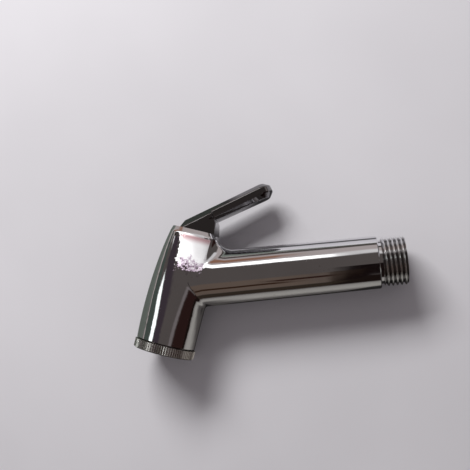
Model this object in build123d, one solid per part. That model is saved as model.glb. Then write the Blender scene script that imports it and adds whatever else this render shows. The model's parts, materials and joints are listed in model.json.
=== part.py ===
from build123d import *
from math import asin, cos, pi, radians, sin
import os

# Hand-held trigger shower. The origin is the centre of the inlet's end face, +X runs out of the
# inlet along the handle, +Y is the lever's side, and Z = 0 is the plane of symmetry.
# Heights "up the head" are measured along the head's own axis from the joint plane of the ring.

# Handle and threaded inlet
THREAD_RADIUS = 10.4775
THREAD_LENGTH = 10.0
UNDERCUT_LENGTH = 1.2
UNDERCUT_DEPTH = 1.2
INLET_CHAMFER = 0.6
SHOULDER_RADIUS = 11.15
SHOULDER_EDGE = 0.4
HANDLE_REACH = 97.0
HANDLE_BORE = 6.9
HANDLE_BORE_END = 15.0
SCREEN_BORE = 7.9

# Head
HEAD_TILT = 19.1
HEAD_DROP = 27.5
HEAD_RADIUS = 12.85
HANDLE_STEP = 0.75
HEAD_BELLY = 0.4
BELLY_HEIGHT = 15.4
BELLY_NARROWING = 0.05
BELLY_SQUARENESS = 2.1
WAIST_HEIGHT = 29.9
WAIST_FRONT = 12.25
WAIST_NARROWING = 0.45
WAIST_SQUARENESS = 2.6
RIM_SQUARENESS = 4.2
TOP_HEIGHT = 50.4
RIM_BEVEL = 2.2
TOP_FRONT = 9.4
TOP_HALF_WIDTH = 9.6
BEVEL_FRONT = 0.5
BEVEL_REAR = 1.9
BEVEL_SIDE = 1.3
POCKET_WALL = 1.55
POCKET_CORNER = 0.5
BARREL_ROOM = 1.2
THROAT_FILLET = 6.0
CROTCH_FILLET = 2.0

# Valve, on an axis parallel to the head's
VALVE_OFFSET = 1.9
VALVE_BORE = 6.5
VALVE_BORE_DEPTH = 8.6
VALVE_CHAMBER = 5.6
CHAMBER_FLOOR = 18.5
STROKE = 1.75
STEM_RADIUS = 2.0
STEM_DOME = 6.0
STEM_NECK = 1.25
STEM_COLLAR = 0.9
STEM_TAPER = 0.7
STEM_WAIST = 1.4
STEM_TAIL = 0.5
STEM_PRESSED = 0.55
SEAT_RADIUS = 2.9
SEAT_LIP = 0.8
SEAT_DROP = 1.0
CAGE_HEIGHT = 4.6
CAGE_WALL = 1.5
CAGE_FLOOR = 1.2
CAGE_SILL = 0.4
CAGE_WINDOW = 2.0
CAGE_SLOT = 3.0
CAGE_RECESS = 0.8
WASHER_THICKNESS = 0.6
WASHER_WIDTH = 0.75
SEAL_WIDTH = 1.2
GLAND_FOOT = 1.2
RETAINER_DEPTH = 0.8
STEM_RING_SECTION = 1.3
SPANNER_HOLE = 0.8
SPANNER_DEPTH = 1.2
DISC_RADIUS = 4.3
DISC_THICKNESS = 1.8
RETAINER_THICKNESS = 1.0
NUT_FLATS = 5.5
NUT_THICKNESS = 2.0
SPRING_RADIUS = 3.85
SPRING_WIRE = 0.3
SPRING_TURNS = 5

# Water ways
FEED_RADIUS = 3.6
CHANNEL_RADIUS = 1.8
CHANNEL_OFFSET = 7.0
CROSS_PORT_RADIUS = 1.5
GASKET_SEAT = 1.5
SPRAY_CHAMBER_TOP = 14.5
SPRAY_CHAMBER_TAPER = 2.0
PORT_COVER = 1.5

# Ring and spray face
RING_PROUD = 0.5
RING_HEIGHT = 4.2
RING_GAP = 0.35
RING_WALL = 1.95
RING_BORE_DEPTH = 6.0
RING_EDGE = 0.4
SPIGOT_WALL = 1.3
LIP_WIDTH = 0.8
LIP_THICKNESS = 1.0
KNURL_TEETH = 84
KNURL_DEPTH = 0.3
PLATE_THICKNESS = 1.0
SPRAY_ROWS = 3
SPRAY_PITCH = 2.6
SPRAY_HOLE = 0.45
SPREADER_THICKNESS = 1.6
SPREADER_HOLE = 1.3
SPREADER_COUNT = 8
SPREADER_RIM = 1.2
SPREADER_FLOOR = 0.8
SPREADER_CIRCLE = 5.8
FACE_GASKET = 1.0

# Lever
LEVER_ANGLE = 19.6
PIVOT_FRONT = 4.9
PIVOT_DEPTH = 3.6
PIN_RADIUS = 1.0
BARREL_RADIUS = 2.6
LEVER_LENGTH = 44.9
LEVER_FRONT = 4.6
LEVER_TOP = 5.4
LEVER_EDGE = 3.45
LEVER_FOOT = 0.65
LEVER_BOTTOM_ROOT = -0.7
LEVER_BOTTOM_TIP = -1.5
LEVER_HALF_WIDTH = 5.2
LEVER_FLAT = 3.0
LEVER_WALL = 1.3
HINGE_NOSE = 0.6
PAD_RADIUS = 2.6
SKIRT_HALF_WIDTH = 6.2
SKIRT_LENGTH = 15.9
SKIRT_LEAN = 0.17
SKIRT_REAR_RISE = 3.6
SKIRT_REAR_DROP = 4.3
SKIRT_ROOF = 2.65
SKIRT_STEP = 0.6
SKIRT_CORNER = 2.1
SKIRT_CORNER_SIDE = 1.3
CAVITY_FRONT = 0.9
PIN_CHAMFER = 0.2

# Inlet pieces
SCREEN_SEAT = 9.5
LIMITER_LENGTH = 4.5
LIMITER_HOLE = 1.6
LIMITER_NOSE = 2.2
LIMITER_TAPER = 1.2
LIMITER_RIM = 1.0
LIMITER_CUP = 1.5
SCREEN_THICKNESS = 2.2
SCREEN_SLOTS = 5
SCREEN_SLOT_WIDTH = 1.1
SCREEN_FLOOR = 0.8
SCREEN_RIM = 1.0
SCREEN_MARGIN = 1.4

# Clearances
RUN = 0.05
FIT = 0.1
SLIDE = 0.3
SLOT_GAP = 0.4
REST_GAP = 0.3

# How far a cutting form runs past the face that it opens
OVERRUN = 1.0

# Sizes and places that follow
SHOULDER_HEIGHT = TOP_HEIGHT - RIM_BEVEL
PIVOT_HEIGHT = TOP_HEIGHT - PIVOT_DEPTH
HANDLE_HEAD_RADIUS = HEAD_RADIUS - HANDLE_STEP
RING_RADIUS = HEAD_RADIUS + RING_PROUD
RING_BORE = HEAD_RADIUS - RING_WALL
SPRAY_CHAMBER_RADIUS = RING_BORE - GASKET_SEAT
ALONG = Vector(cos(radians(HEAD_TILT)), -sin(radians(HEAD_TILT)), 0)
UP = Vector(sin(radians(HEAD_TILT)), cos(radians(HEAD_TILT)), 0)
HEAD_ORIGIN = Vector(-HANDLE_REACH, 0, 0) - UP * HEAD_DROP
SHOULDER_X = -(THREAD_LENGTH + UNDERCUT_LENGTH)
POCKET_HALF_WIDTH = SKIRT_HALF_WIDTH + SLOT_GAP
POCKET_FLOOR = PIVOT_HEIGHT - BARREL_RADIUS - BARREL_ROOM
POCKET_FRONT = PIVOT_FRONT + BARREL_RADIUS + SLIDE
POCKET_REAR = HEAD_RADIUS - POCKET_WALL
VALVE_SHOULDER = POCKET_FLOOR - VALVE_BORE_DEPTH
CAGE_BASE = VALVE_SHOULDER + WASHER_THICKNESS
CAGE_TOP = CAGE_BASE + CAGE_HEIGHT
DISC_TOP = CAGE_BASE - SEAT_DROP
RETAINER_TOP = DISC_TOP - DISC_THICKNESS
NUT_TOP = RETAINER_TOP - RETAINER_THICKNESS
STEM_TOP = POCKET_FLOOR + STROKE + STEM_PRESSED
PLATE_TOP = -(RING_GAP + RING_HEIGHT) + LIP_THICKNESS + PLATE_THICKNESS
PIN_HALF_LENGTH = TOP_HALF_WIDTH - BEVEL_SIDE
SPIGOT_LENGTH = RING_GAP + RING_BORE_DEPTH - FACE_GASKET - RUN


def head_plane(height, offset=0.0):
    """Plane across the head at a height up its axis, its x along the top of the head."""
    return Plane(origin=HEAD_ORIGIN + UP * height + ALONG * offset, x_dir=ALONG, z_dir=UP)


def head_point(offset, height):
    """Point of the plane of symmetry, given along and up the head."""
    return HEAD_ORIGIN + ALONG * offset + UP * height


def handle_plane(x):
    """Plane across the handle, looking from the inlet into it."""
    return Plane(origin=(x, 0, 0), x_dir=(0, 0, 1), z_dir=(-1, 0, 0))


def turned(profile, plane):
    """Solid of revolution from (radius, height) points about the plane's normal."""
    outline = Polyline(*[(r, 0, h) for r, h in profile], close=True)
    return plane * revolve(make_face(outline), Axis.Z)


def drum(plane, outer, height, inner=0.0):
    """Disc or ring standing on a plane."""
    profile = [(inner, 0), (outer, 0), (outer, height), (inner, height)]
    return turned(profile, plane)


def head_section(height, front, rear, half_width, squareness):
    """Section of the head: a circle at squareness 2, a soft rectangle above it."""
    points = []
    steps = 40
    for i in range(steps):
        x = (rear + front) / 2 * cos(2 * pi * i / steps)
        y = half_width * sin(2 * pi * i / steps)
        across = abs(2 * x / (rear + front)) ** squareness + abs(y / half_width) ** squareness
        swell = across ** (-1 / squareness)
        points.append(((rear - front) / 2 + swell * x, swell * y))
    return head_plane(height) * make_face(Spline(*points, periodic=True))


def head_shape():
    """Round at the ring, flat-sided and narrower at the top, with a bevelled rim."""
    belly = HEAD_RADIUS + HEAD_BELLY
    rim = head_section(SHOULDER_HEIGHT, TOP_FRONT, HEAD_RADIUS, TOP_HALF_WIDTH, RIM_SQUARENESS)
    sections = [
        head_section(0, HEAD_RADIUS, HEAD_RADIUS, HEAD_RADIUS, 2),
        head_section(BELLY_HEIGHT, belly, HEAD_RADIUS, HEAD_RADIUS - BELLY_NARROWING, BELLY_SQUARENESS),
        head_section(WAIST_HEIGHT, WAIST_FRONT, HEAD_RADIUS, HEAD_RADIUS - WAIST_NARROWING,
                     WAIST_SQUARENESS),
        rim,
    ]
    top = head_section(TOP_HEIGHT, TOP_FRONT - BEVEL_FRONT, HEAD_RADIUS - BEVEL_REAR,
                       TOP_HALF_WIDTH - BEVEL_SIDE, RIM_SQUARENESS)
    return loft(sections) + loft([rim, top], ruled=True)


def handle_shape():
    """Slightly conical handle, from the shoulder into the head."""
    length = HANDLE_REACH + SHOULDER_X
    cone = Cone(SHOULDER_RADIUS, HANDLE_HEAD_RADIUS, length)
    cone = chamfer(cone.edges().group_by(Axis.Z)[0], SHOULDER_EDGE)
    return handle_plane(SHOULDER_X) * Pos(0, 0, length / 2) * cone


def inlet_spigot():
    """Inlet thread at its full outer size, with an undercut at the shoulder."""
    neck = THREAD_RADIUS - UNDERCUT_DEPTH
    profile = [
        (0, 0),
        (THREAD_RADIUS - INLET_CHAMFER, 0),
        (THREAD_RADIUS, INLET_CHAMFER),
        (THREAD_RADIUS, THREAD_LENGTH),
        (neck, THREAD_LENGTH),
        (neck, THREAD_LENGTH + UNDERCUT_LENGTH + OVERRUN),
        (0, THREAD_LENGTH + UNDERCUT_LENGTH + OVERRUN),
    ]
    return turned(profile, handle_plane(0))


def joined_forms(radius):
    """Head and handle joined, with one fillet radius all round the joint."""
    joined = head_shape() + handle_shape()
    limit = HANDLE_HEAD_RADIUS + OVERRUN
    boxes = [(edge, edge.bounding_box()) for edge in joined.edges().filter_by(GeomType.BSPLINE)]
    seam = [edge for edge, box in boxes
            if box.min.X > -HANDLE_REACH and box.max.X < -HANDLE_REACH / 2
            and box.min.Y > -limit and box.max.Y < limit]
    return fillet(seam, radius)


def body_outside():
    """Casting of head, handle and inlet, with a wide throat above and a tight crotch below."""
    size = 4 * HANDLE_REACH
    above = Pos(0, size / 2, 0) * Box(size, size, size)
    below = Pos(0, -size / 2, 0) * Box(size, size, size)
    joined = (joined_forms(THROAT_FILLET) & above) + (joined_forms(CROTCH_FILLET) & below)
    return joined + inlet_spigot()


def lever_pocket():
    """Pocket in the top of the head that the hinge and the lever's skirt drop into."""
    length = POCKET_FRONT + POCKET_REAR
    middle = (POCKET_REAR - POCKET_FRONT) / 2
    depth = TOP_HEIGHT - POCKET_FLOOR + OVERRUN
    box = Box(length, 2 * POCKET_HALF_WIDTH, depth)
    box = fillet(box.edges().filter_by(Axis.Z), POCKET_CORNER)
    return head_plane(POCKET_FLOOR) * Pos(middle, 0, depth / 2) * box


def body_bores():
    """Water ways and valve bores cut into the casting."""
    floor = head_plane(CHAMBER_FLOOR, VALVE_OFFSET)
    bores = drum(floor, VALVE_CHAMBER, POCKET_FLOOR - CHAMBER_FLOOR)
    bores += drum(head_plane(VALVE_SHOULDER, VALVE_OFFSET), VALVE_BORE, VALVE_BORE_DEPTH + OVERRUN)
    bores += drum(handle_plane(0), HANDLE_BORE, HANDLE_REACH - HANDLE_BORE_END)
    bores += drum(handle_plane(0), SCREEN_BORE, SCREEN_SEAT)
    feed = HANDLE_BORE_END - VALVE_OFFSET
    bores += drum(handle_plane(-HANDLE_REACH + HANDLE_BORE_END), FEED_RADIUS, feed)
    port_height = CAGE_BASE + CAGE_HEIGHT / 2
    channel_foot = SPRAY_CHAMBER_TOP - SPRAY_CHAMBER_TAPER / 2
    bores += drum(head_plane(channel_foot, -CHANNEL_OFFSET), CHANNEL_RADIUS,
                  port_height + PORT_COVER - channel_foot)
    port = Plane(origin=head_point(VALVE_OFFSET, port_height), x_dir=(0, 0, 1), z_dir=-ALONG)
    bores += drum(port, CROSS_PORT_RADIUS, VALVE_OFFSET + CHANNEL_OFFSET)
    chamber = [
        (0, -OVERRUN),
        (RING_BORE, -OVERRUN),
        (RING_BORE, RING_BORE_DEPTH),
        (SPRAY_CHAMBER_RADIUS, RING_BORE_DEPTH),
        (SPRAY_CHAMBER_RADIUS, SPRAY_CHAMBER_TOP - SPRAY_CHAMBER_TAPER),
        (SPRAY_CHAMBER_RADIUS - SPRAY_CHAMBER_TAPER, SPRAY_CHAMBER_TOP),
        (0, SPRAY_CHAMBER_TOP),
    ]
    return bores + turned(chamber, head_plane(0))


def pin_plane():
    return Plane(origin=head_point(-PIVOT_FRONT, PIVOT_HEIGHT), x_dir=ALONG, z_dir=(0, 0, 1))


def pin_cylinder(radius, half_length):
    return pin_plane() * Cylinder(radius, 2 * half_length)


def body():
    solid = body_outside() - lever_pocket() - body_bores()
    return solid - pin_cylinder(PIN_RADIUS, TOP_HALF_WIDTH + OVERRUN)


def valve_washer():
    """Flat seal under the cage."""
    outer = VALVE_BORE - FIT
    return drum(head_plane(VALVE_SHOULDER, VALVE_OFFSET), outer, WASHER_THICKNESS,
                outer - WASHER_WIDTH)


def valve_cage():
    """Turned sleeve with the valve seat below and four windows for the water."""
    outer = VALVE_BORE - FIT
    inner = outer - CAGE_WALL
    lip = SEAT_DROP - RUN
    window = CAGE_FLOOR + CAGE_SILL
    profile = [
        (SEAT_RADIUS, -lip),
        (SEAT_RADIUS + SEAT_LIP, -lip),
        (SEAT_RADIUS + SEAT_LIP, 0),
        (outer, 0),
        (outer, window),
        (outer - CAGE_RECESS, window),
        (outer - CAGE_RECESS, window + CAGE_WINDOW),
        (outer, window + CAGE_WINDOW),
        (outer, CAGE_HEIGHT),
        (inner, CAGE_HEIGHT),
        (inner, CAGE_FLOOR),
        (SEAT_RADIUS, CAGE_FLOOR),
    ]
    sleeve = turned(profile, Plane.XY)
    slot = Pos(0, 0, window + CAGE_WINDOW / 2) * Box(2 * VALVE_BORE, CAGE_SLOT, CAGE_WINDOW)
    sleeve = sleeve - slot - Rot(0, 0, 90) * slot
    return head_plane(CAGE_BASE, VALVE_OFFSET) * sleeve


def gland_nut():
    """Screwed plug that holds the cage down and guides the stem."""
    outer = VALVE_BORE - FIT
    height = POCKET_FLOOR - CAGE_TOP
    groove = STEM_RADIUS + STEM_RING_SECTION + RUN
    ring_top = RETAINER_DEPTH + STEM_RING_SECTION + 2 * RUN
    seal = outer - SEAL_WIDTH
    profile = [
        (STEM_RADIUS + RUN, height),
        (outer, height),
        (outer, GLAND_FOOT),
        (seal, GLAND_FOOT),
        (seal, 0),
        (groove, 0),
        (groove, ring_top),
        (STEM_RADIUS + RUN, ring_top),
    ]
    nut = turned(profile, Plane.XY)
    hole = Pos(0, 0, height) * Cylinder(SPANNER_HOLE, 2 * SPANNER_DEPTH)
    for side in (-1, 1):
        nut -= Pos(0, side * (STEM_RADIUS + outer) / 2, 0) * hole
    return head_plane(CAGE_TOP, VALVE_OFFSET) * nut


def gland_ring():
    """Square-section seal around the foot of the gland nut."""
    outer = VALVE_BORE - FIT
    return drum(head_plane(CAGE_TOP, VALVE_OFFSET), outer, GLAND_FOOT - RUN, outer - SEAL_WIDTH + RUN)


def stem_ring():
    """O-ring that seals the stem, in the groove under the gland nut."""
    section = STEM_RING_SECTION / 2
    height = CAGE_TOP + RETAINER_DEPTH + section + RUN
    return head_plane(height, VALVE_OFFSET) * Torus(STEM_RADIUS + section + RUN / 2, section - RUN / 2)


def ring_retainer():
    """Washer pressed into the gland nut's foot to hold the O-ring up."""
    outer = STEM_RADIUS + STEM_RING_SECTION
    return drum(head_plane(CAGE_TOP, VALVE_OFFSET), outer, RETAINER_DEPTH, STEM_RADIUS + RUN)


def valve_stem():
    """Domed stem with a collar above the disc and a thinner threaded end below it."""
    top = STEM_TOP - DISC_TOP
    tail = RETAINER_THICKNESS + DISC_THICKNESS + NUT_THICKNESS + STEM_TAIL
    waist_top = CAGE_FLOOR + SEAT_DROP + STEM_WAIST
    lean = asin(STEM_RADIUS / STEM_DOME)
    shoulder = top - STEM_DOME * (1 - cos(lean))
    outline = Polyline(
        (0, 0, -tail),
        (STEM_NECK, 0, -tail),
        (STEM_NECK, 0, 0),
        (STEM_RADIUS, 0, 0),
        (STEM_RADIUS, 0, STEM_COLLAR),
        (STEM_NECK, 0, STEM_COLLAR + STEM_TAPER),
        (STEM_NECK, 0, waist_top),
        (STEM_RADIUS, 0, waist_top + STEM_TAPER),
        (STEM_RADIUS, 0, shoulder),
    )
    middle = (STEM_DOME * sin(lean / 2), 0, top - STEM_DOME * (1 - cos(lean / 2)))
    dome = ThreePointArc((STEM_RADIUS, 0, shoulder), middle, (0, 0, top))
    axis = Line((0, 0, top), (0, 0, -tail))
    face = make_face(outline + dome + axis)
    return head_plane(DISC_TOP, VALVE_OFFSET) * revolve(face, Axis.Z)


def seal_disc():
    """Rubber disc that closes against the seat from below."""
    return drum(head_plane(RETAINER_TOP, VALVE_OFFSET), DISC_RADIUS, DISC_THICKNESS, STEM_NECK)


def disc_retainer():
    """Metal washer behind the disc, which the return spring bears on."""
    return drum(head_plane(NUT_TOP, VALVE_OFFSET), DISC_RADIUS, RETAINER_THICKNESS, STEM_NECK)


def disc_nut():
    nut = extrude(RegularPolygon(NUT_FLATS / 2, 6, major_radius=False), NUT_THICKNESS)
    nut -= Pos(0, 0, NUT_THICKNESS / 2) * Cylinder(STEM_NECK, NUT_THICKNESS)
    return head_plane(NUT_TOP - NUT_THICKNESS, VALVE_OFFSET) * nut


def return_spring():
    """Compression spring between the chamber floor and the retainer."""
    radius = SPRING_RADIUS - SPRING_WIRE
    height = NUT_TOP - CHAMBER_FLOOR - 2 * SPRING_WIRE - 2 * RUN
    path = Helix(height / SPRING_TURNS, height, radius)
    wire = sweep(Plane(origin=path @ 0, z_dir=path % 0) * RegularPolygon(SPRING_WIRE, 8), path=path)
    end = Torus(radius, SPRING_WIRE)
    ends = end + Pos(0, 0, height) * end
    return head_plane(CHAMBER_FLOOR + SPRING_WIRE + RUN, VALVE_OFFSET) * (wire + ends)


def knurl_outline():
    """Ring outline with fine straight teeth."""
    points = []
    for i in range(2 * KNURL_TEETH):
        turn = pi * i / KNURL_TEETH
        radius = RING_RADIUS if i % 2 == 0 else RING_RADIUS - KNURL_DEPTH
        points.append((radius * cos(turn), radius * sin(turn)))
    return make_face(Polyline(*points, close=True))


def face_ring():
    """Knurled ring with its spigot, which screws into the head and holds the spray plate."""
    outer = RING_BORE - FIT
    inner = outer - SPIGOT_WALL
    profile = [
        (inner - LIP_WIDTH, -RING_HEIGHT),
        (RING_RADIUS - 2 * RING_EDGE, -RING_HEIGHT),
        (RING_RADIUS - KNURL_DEPTH / 2, -RING_HEIGHT + RING_EDGE),
        (RING_RADIUS - KNURL_DEPTH / 2, -RING_EDGE),
        (RING_RADIUS - RING_EDGE - KNURL_DEPTH, 0),
        (outer, 0),
        (outer, SPIGOT_LENGTH),
        (inner, SPIGOT_LENGTH),
        (inner, LIP_THICKNESS - RING_HEIGHT),
        (inner - LIP_WIDTH, LIP_THICKNESS - RING_HEIGHT),
    ]
    ring = turned(profile, Plane.XY)
    band = RING_HEIGHT - 2 * RING_EDGE
    teeth = Pos(0, 0, -RING_HEIGHT + RING_EDGE) * extrude(knurl_outline(), band)
    teeth -= Pos(0, 0, -RING_HEIGHT / 2) * Cylinder(outer, RING_HEIGHT)
    return head_plane(-RING_GAP) * (ring + teeth)


def plate_radius():
    return RING_BORE - FIT - SPIGOT_WALL - FIT


def spray_plate():
    """Thin disc with rings of small spray holes."""
    plate = Pos(0, 0, PLATE_THICKNESS / 2) * Cylinder(plate_radius(), PLATE_THICKNESS)
    hole = Pos(0, 0, PLATE_THICKNESS / 2) * Cylinder(SPRAY_HOLE, 2 * PLATE_THICKNESS)
    cuts = [hole]
    for row in range(1, SPRAY_ROWS + 1):
        cuts += [loc * hole for loc in PolarLocations(row * SPRAY_PITCH, 6 * row)]
    return head_plane(PLATE_TOP - PLATE_THICKNESS) * (plate - cuts)


def flow_spreader():
    """Moulded disc with a rim that spreads the water over the spray plate."""
    radius = plate_radius()
    dish = SPREADER_THICKNESS - SPREADER_FLOOR
    disc = Pos(0, 0, SPREADER_THICKNESS / 2) * Cylinder(radius, SPREADER_THICKNESS)
    disc -= Pos(0, 0, dish / 2) * Cylinder(radius - SPREADER_RIM, dish)
    hole = Pos(0, 0, SPREADER_THICKNESS) * Cylinder(SPREADER_HOLE, 2 * SPREADER_THICKNESS)
    disc -= [loc * hole for loc in PolarLocations(SPREADER_CIRCLE, SPREADER_COUNT)]
    return head_plane(PLATE_TOP) * disc


def face_gasket():
    """Rubber ring between the spigot's end and the head."""
    outer = RING_BORE - FIT
    return drum(head_plane(RING_BORE_DEPTH - FACE_GASKET), outer, FACE_GASKET, SPRAY_CHAMBER_RADIUS)


def lever_plane():
    """Plane of symmetry with x along the lever and its origin at the pivot."""
    turn = radians(LEVER_ANGLE)
    return Plane(origin=head_point(-PIVOT_FRONT, PIVOT_HEIGHT),
                 x_dir=(cos(turn), sin(turn), 0), z_dir=(0, 0, 1))


def lever_plan(height, inset):
    """Outline of the lever from above at a height: straight sides and a round tip."""
    half = LEVER_HALF_WIDTH - inset
    tip = LEVER_LENGTH - LEVER_HALF_WIDTH
    sides = Polyline((tip, half), (LEVER_FRONT, half), (LEVER_FRONT, -half), (tip, -half))
    end = ThreePointArc((tip, -half), (tip + half, 0), (tip, half))
    level = Plane(origin=(0, height, 0), x_dir=(1, 0, 0), z_dir=(0, 1, 0))
    return level * make_face(sides + end)


def lever_bar():
    """Bar with bevels above and below its flat sides, all running round the tip."""
    bevel = LEVER_FOOT - LEVER_BOTTOM_TIP
    levels = [
        lever_plan(LEVER_BOTTOM_TIP, bevel),
        lever_plan(LEVER_FOOT, 0),
        lever_plan(LEVER_EDGE, 0),
        lever_plan(LEVER_TOP, LEVER_HALF_WIDTH - LEVER_FLAT),
    ]
    bar = loft(levels, ruled=True)
    under = Polyline((LEVER_FRONT - OVERRUN, LEVER_BOTTOM_ROOT), (SKIRT_LENGTH, LEVER_BOTTOM_ROOT),
                     (LEVER_LENGTH, LEVER_BOTTOM_TIP),
                     (LEVER_FRONT - OVERRUN, LEVER_BOTTOM_TIP - OVERRUN), close=True)
    return bar - extrude(make_face(under), LEVER_HALF_WIDTH, both=True)


def skirt_rear(depth_below):
    """Lever-plane point on the skirt's rear face, at a depth below the pivot along Y."""
    x = SKIRT_LENGTH - SKIRT_LEAN * depth_below
    turn = radians(LEVER_ANGLE)
    return (x * cos(turn) - depth_below * sin(turn), -x * sin(turn) - depth_below * cos(turn))


def skirt_outline():
    """Side view of the skirt, from the hinge to the rear wall."""
    low = skirt_rear(SKIRT_REAR_DROP)
    high = skirt_rear(-SKIRT_REAR_RISE)
    outline = Polyline((0, -BARREL_RADIUS), low, high, (high[0] + SKIRT_STEP, LEVER_TOP),
                       (LEVER_FRONT, LEVER_TOP), (HINGE_NOSE, BARREL_RADIUS - FIT), close=True)
    return make_face(outline)


def skirt_cavity():
    """Side view of the hollow that is open below and clears the valve's stem."""
    low = skirt_rear(SKIRT_REAR_DROP + 2 * OVERRUN)
    high = skirt_rear(LEVER_WALL - SKIRT_REAR_RISE)
    roof = LEVER_TOP - SKIRT_ROOF
    front = BARREL_RADIUS + CAVITY_FRONT
    outline = Polyline((front, low[1]), (low[0] - LEVER_WALL, low[1]), (high[0] - LEVER_WALL, high[1]),
                       (high[0] - LEVER_WALL, roof), (front, roof), close=True)
    return make_face(outline)


def lever_skirt():
    """Cover over the head's top: two cheeks, a roof and a rear wall, open below."""
    half = SKIRT_HALF_WIDTH
    solid = extrude(skirt_outline(), half, both=True)
    slope = (LEVER_TOP - LEVER_EDGE) / (LEVER_HALF_WIDTH - LEVER_FLAT)
    wide = half + OVERRUN
    across = Plane(origin=(-BARREL_RADIUS, 0, 0), x_dir=(0, 0, -1), z_dir=(1, 0, 0))
    low = skirt_rear(SKIRT_REAR_DROP)[1] - OVERRUN
    plan = Plane(origin=(0, low, 0), x_dir=(1, 0, 0), z_dir=(0, 1, 0))
    rear = skirt_rear(-SKIRT_REAR_RISE)[0]
    past = rear + SKIRT_CORNER
    for side in (-1, 1):
        wedge = Polyline((side * LEVER_FLAT, LEVER_TOP), (side * wide, LEVER_TOP),
                         (side * wide, LEVER_TOP - slope * (wide - LEVER_FLAT)), close=True)
        solid -= extrude(across * make_face(wedge), BARREL_RADIUS + past)
        corner = Polyline((rear - SKIRT_CORNER, side * half), (rear - SKIRT_CORNER, side * wide),
                          (past, side * wide), (past, side * (half - 2 * SKIRT_CORNER_SIDE)), close=True)
        solid -= extrude(plan * make_face(corner), LEVER_FOOT - low)
    return solid - extrude(skirt_cavity(), half - LEVER_WALL, both=True)


def press_pad():
    """Boss under the skirt's roof that bears on the stem."""
    tilt = HEAD_TILT + LEVER_ANGLE
    offset = PIVOT_FRONT + VALVE_OFFSET
    drop = PIVOT_HEIGHT - STEM_TOP - REST_GAP
    height = 2 * LEVER_TOP
    column = Pos(offset, height / 2 - drop) * Rot(-90, 0, 0) * Cylinder(PAD_RADIUS, height)
    return Rot(0, 0, -tilt) * column


def lever():
    """Trigger lever with its hinge barrel, pivoted at the front of the head."""
    barrel = Cylinder(BARREL_RADIUS, 2 * SKIRT_HALF_WIDTH)
    pad_top = LEVER_TOP - SKIRT_ROOF / 2
    under_roof = Pos(0, pad_top - LEVER_LENGTH / 2) * Rectangle(LEVER_LENGTH, LEVER_LENGTH)
    pad = press_pad() & extrude(under_roof, LEVER_HALF_WIDTH, both=True)
    solid = lever_skirt() + lever_bar() + barrel + pad
    return lever_plane() * (solid - Cylinder(PIN_RADIUS + RUN, 2 * SKIRT_HALF_WIDTH + OVERRUN))


def lever_pin():
    return chamfer_ends(pin_cylinder(PIN_RADIUS, PIN_HALF_LENGTH))


def chamfer_ends(rod):
    return chamfer(rod.edges().filter_by(GeomType.CIRCLE), PIN_CHAMFER)


def flow_limiter():
    """Moulded plug with a small bore that limits the flow, at the seat in the inlet."""
    outer = SCREEN_BORE - FIT
    profile = [
        (LIMITER_HOLE, 0),
        (LIMITER_HOLE + LIMITER_NOSE, 0),
        (outer, LIMITER_TAPER),
        (outer, LIMITER_LENGTH),
        (HANDLE_BORE - LIMITER_RIM, LIMITER_LENGTH),
        (LIMITER_HOLE, LIMITER_LENGTH - LIMITER_CUP),
    ]
    return turned(profile, handle_plane(-(SCREEN_SEAT - LIMITER_LENGTH - WASHER_THICKNESS)))


def limiter_washer():
    """Rubber ring between the limiter and the seat in the inlet bore."""
    outer = SCREEN_BORE - FIT
    return drum(handle_plane(-(SCREEN_SEAT - WASHER_THICKNESS)), outer, WASHER_THICKNESS, HANDLE_BORE)


def inlet_screen():
    """Slotted strainer in front of the limiter."""
    outer = SCREEN_BORE - FIT
    depth = SCREEN_THICKNESS - SCREEN_FLOOR
    disc = Pos(0, 0, SCREEN_THICKNESS / 2) * Cylinder(outer, SCREEN_THICKNESS)
    dish = Pos(0, 0, depth / 2) * Cylinder(outer - SCREEN_RIM, depth)
    reach = outer - SCREEN_MARGIN
    slots = []
    for i in range(SCREEN_SLOTS):
        x = (2 * i + 1 - SCREEN_SLOTS) * reach / SCREEN_SLOTS
        far = abs(x) + SCREEN_SLOT_WIDTH / 2
        length = 2 * (reach**2 - far**2) ** 0.5
        slots.append(Pos(x, 0, SCREEN_THICKNESS) * Box(SCREEN_SLOT_WIDTH, length, 2 * SCREEN_THICKNESS))
    start = SCREEN_SEAT - LIMITER_LENGTH - WASHER_THICKNESS - SCREEN_THICKNESS
    return handle_plane(-start) * (disc - dish - slots)


PARTS = {
    "body": body,
    "lever": lever,
    "lever_pin": lever_pin,
    "gland_nut": gland_nut,
    "gland_ring": gland_ring,
    "ring_retainer": ring_retainer,
    "stem_ring": stem_ring,
    "valve_stem": valve_stem,
    "valve_cage": valve_cage,
    "valve_washer": valve_washer,
    "seal_disc": seal_disc,
    "disc_retainer": disc_retainer,
    "disc_nut": disc_nut,
    "return_spring": return_spring,
    "face_ring": face_ring,
    "spray_plate": spray_plate,
    "flow_spreader": flow_spreader,
    "face_gasket": face_gasket,
    "flow_limiter": flow_limiter,
    "limiter_washer": limiter_washer,
    "inlet_screen": inlet_screen,
}

os.makedirs("parts", exist_ok=True)
for name, make in PARTS.items():
    export_step(make(), f"parts/{name}.step")
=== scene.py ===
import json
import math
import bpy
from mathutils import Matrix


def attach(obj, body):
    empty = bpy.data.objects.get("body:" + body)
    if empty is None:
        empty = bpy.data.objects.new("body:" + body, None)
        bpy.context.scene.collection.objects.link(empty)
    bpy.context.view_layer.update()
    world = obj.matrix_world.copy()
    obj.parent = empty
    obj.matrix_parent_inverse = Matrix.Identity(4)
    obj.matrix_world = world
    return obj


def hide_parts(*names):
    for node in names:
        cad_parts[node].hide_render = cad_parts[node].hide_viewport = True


bl_info = {
    "name": "Trigger Handset Finish",
    "version": (1, 0, 0),
    "blender": (4, 5, 0),
    "location": "View3D > Sidebar > Handset",
    "description": "Finishes a packed trigger handset: plating, thread, valve and a plain studio",
    "category": "Object",
}

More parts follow.
